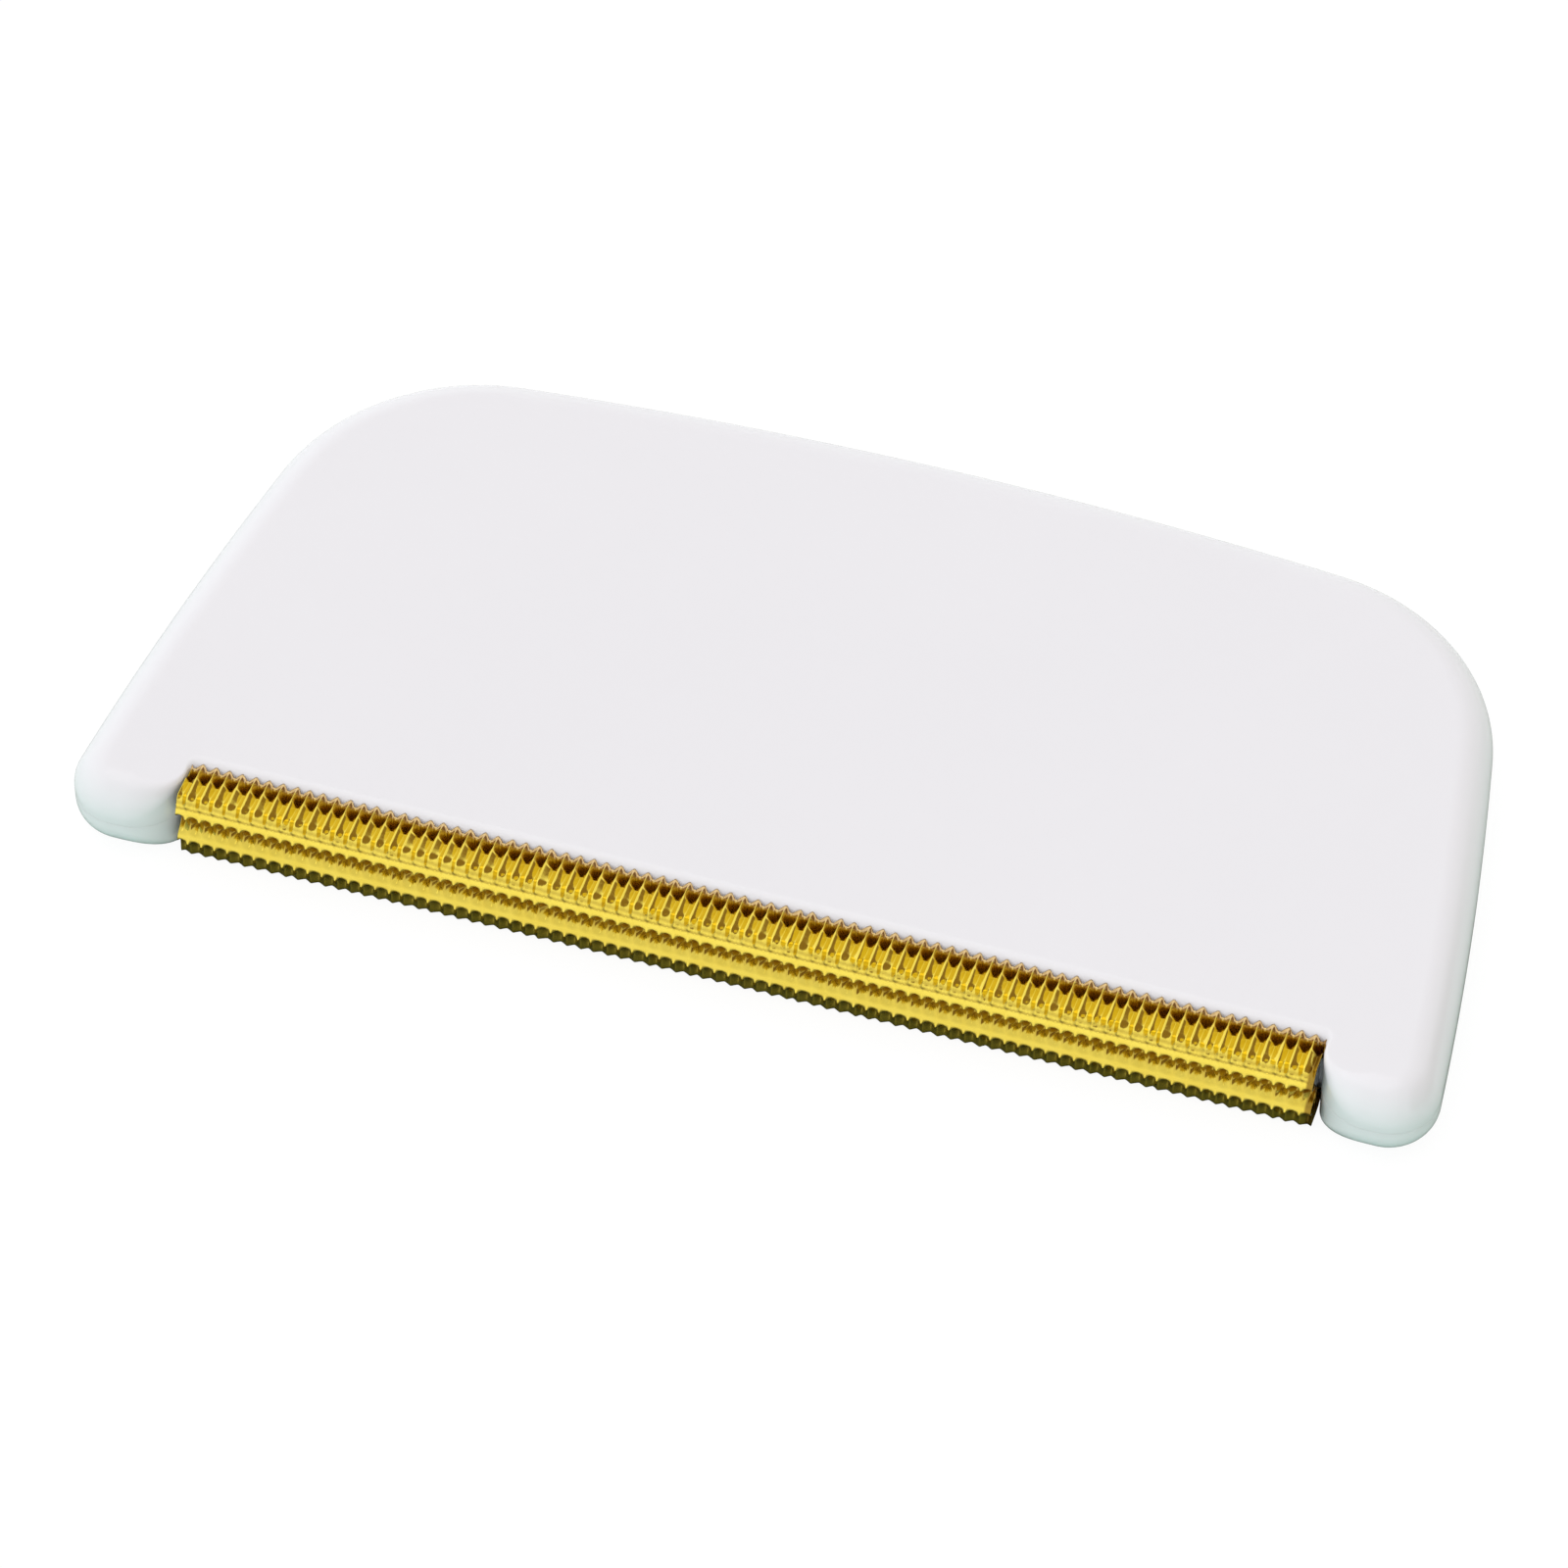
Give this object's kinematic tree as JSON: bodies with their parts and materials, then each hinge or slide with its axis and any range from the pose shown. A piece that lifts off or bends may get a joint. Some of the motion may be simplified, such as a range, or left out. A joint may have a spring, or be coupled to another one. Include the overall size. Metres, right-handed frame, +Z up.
{
  "type": "sweater comb",
  "caption": "A flat white two-shell handle, with a pleated brass comb strip in the notch between its two feet, for combing pilling off knitwear.",
  "frame": {"origin": "centre of the underside, under the middle of the handle's width and depth", "axes": "+X along the comb strip from the left foot to the right one, +Y from the feet to the bowed back edge, +Z up out of the front face"},
  "size_m": [0.087, 0.043, 0.0055],
  "materials": {
    "plastic": "glossy moulded white ABS",
    "bar_plastic": "plain moulded ABS, hidden by the strip",
    "brass": "bright rolled sheet, pleated and crimped"
  },
  "bodies": {
    "root": {"handle_front": "plastic", "handle_back": "plastic", "comb_core": "bar_plastic", "comb_strip": "brass"}
  },
  "joints": []
}
